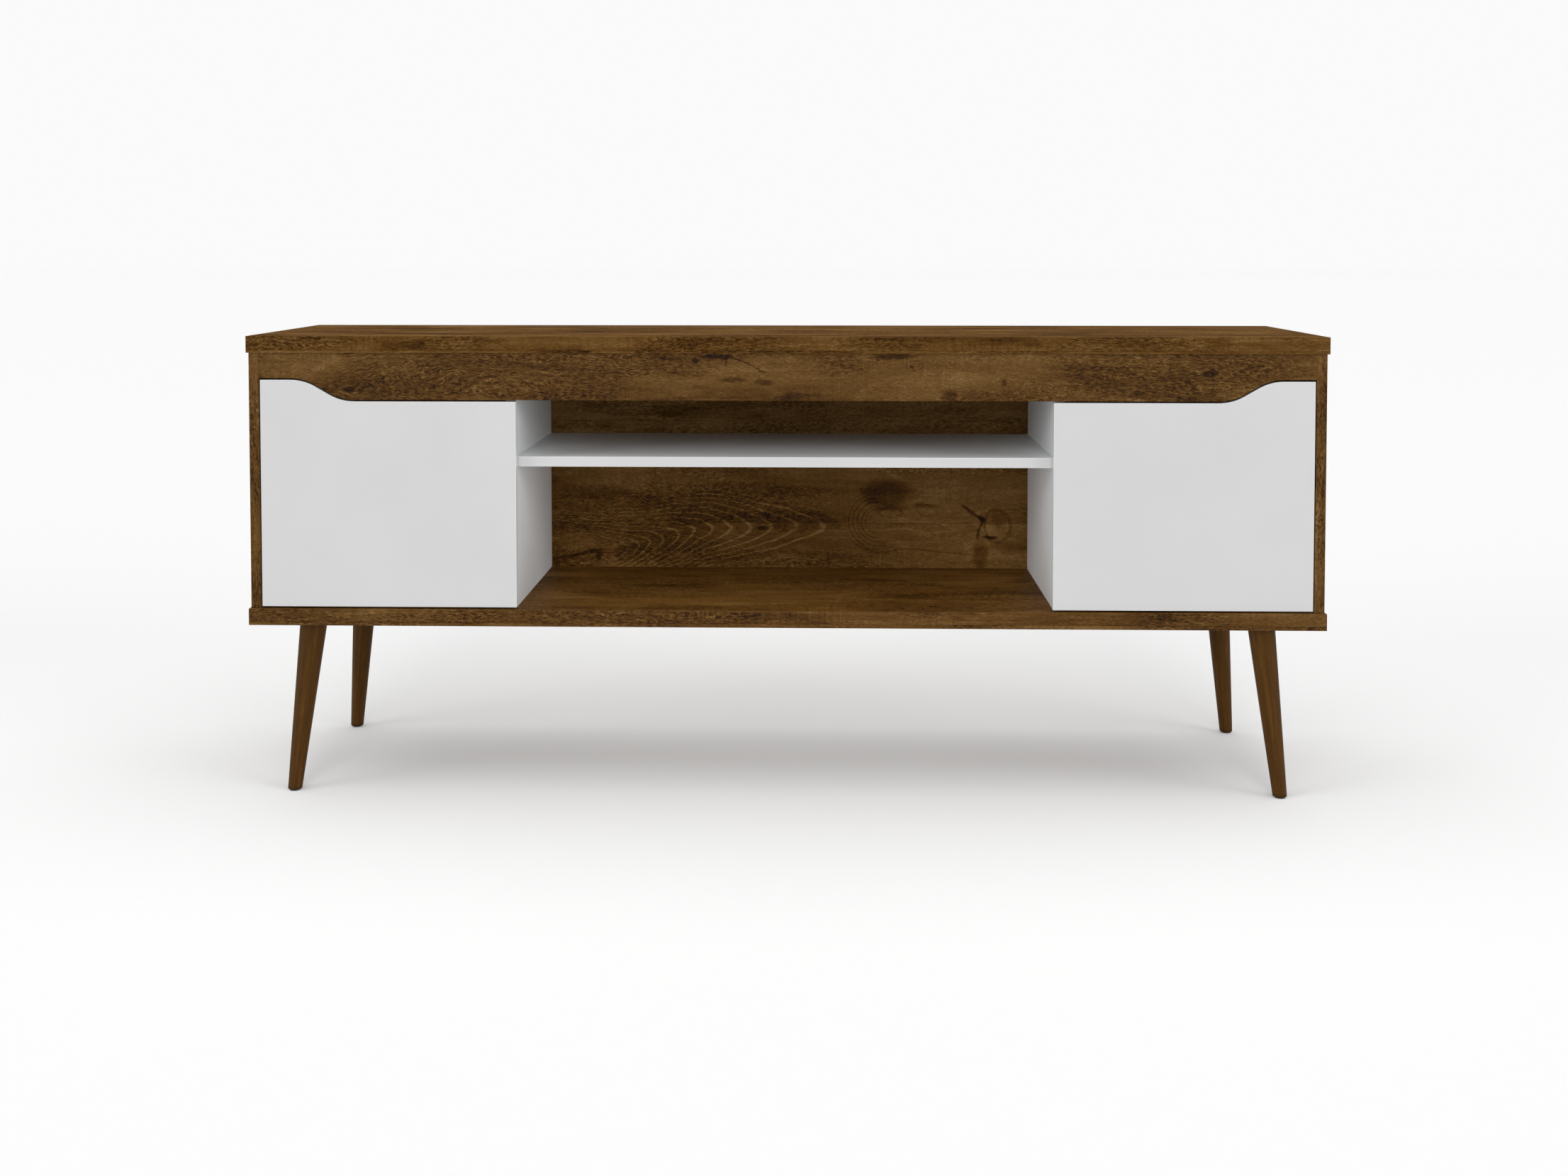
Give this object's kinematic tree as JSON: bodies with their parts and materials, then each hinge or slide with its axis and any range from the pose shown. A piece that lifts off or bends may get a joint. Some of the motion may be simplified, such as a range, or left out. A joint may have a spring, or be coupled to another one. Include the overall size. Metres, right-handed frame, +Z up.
{
  "type": "television cabinet",
  "caption": "Low television cabinet on splayed tapered legs, with a hinged wave-topped door at each end and an open centre bay with a shelf.",
  "frame": {"origin": "on the floor, under the middle of the cabinet", "axes": "+X along the length to the right seen from the front, +Y to the back, +Z up"},
  "size_m": [1.6, 0.36, 0.685],
  "materials": {
    "wood_print_board": "rustic brown wood-grain print, satin",
    "wood_print_back": "dark rustic wood-grain print on thin fibreboard, satin",
    "white_board": "white lacquer, satin",
    "leg_wood": "stained solid wood, satin",
    "dowel_wood": "plain beech",
    "black_steel": "black, satin",
    "zinc_steel": "bright zinc and nickel plate",
    "glide_plastic": "dark brown plastic",
    "bumper_rubber": "translucent soft pad"
  },
  "bodies": {
    "cabinet": {"back_panel_screws": "zinc_steel", "bottom_panel": "wood_print_board", "cam_bolts": "zinc_steel", "cam_locks": "zinc_steel", "centre_back_panel": "wood_print_back", "door_bumpers": "bumper_rubber", "front_apron": "wood_print_board", "front_left_leg": "leg_wood", "front_right_leg": "leg_wood", "left_arm_screws": "zinc_steel", "left_back_panel": "wood_print_back", "left_divider": "white_board", "left_hinge_arms": "zinc_steel", "left_hinge_plates": "zinc_steel", "left_hinge_screws": "zinc_steel", "left_side_panel": "wood_print_board", "leg_bolts": "zinc_steel", "leg_glides": "glide_plastic", "leg_plate_screws": "black_steel", "leg_plates": "black_steel", "media_shelf": "white_board", "rear_left_leg": "leg_wood", "rear_right_leg": "leg_wood", "right_arm_screws": "zinc_steel", "right_back_panel": "wood_print_back", "right_divider": "white_board", "right_hinge_arms": "zinc_steel", "right_hinge_plates": "zinc_steel", "right_hinge_screws": "zinc_steel", "right_side_panel": "wood_print_board", "shelf_screws": "black_steel", "top_panel": "wood_print_board", "wood_dowels": "dowel_wood"},
    "left_door": {"left_door": "white_board", "left_hinge_cups": "zinc_steel", "left_hinge_pins": "zinc_steel", "left_cup_screws": "zinc_steel"},
    "right_door": {"right_door": "white_board", "right_hinge_cups": "zinc_steel", "right_hinge_pins": "zinc_steel", "right_cup_screws": "zinc_steel"}
  },
  "joints": [
    {"name": "left_door_hinge", "type": "hinge", "parent": "cabinet", "child": "left_door", "pos_m": [-0.7602, -0.17, 0.45], "axis": [0, 0, -1], "range_deg": [0, 95]},
    {"name": "right_door_hinge", "type": "hinge", "parent": "cabinet", "child": "right_door", "pos_m": [0.7602, -0.17, 0.45], "axis": [0, 0, 1], "range_deg": [0, 95]}
  ]
}
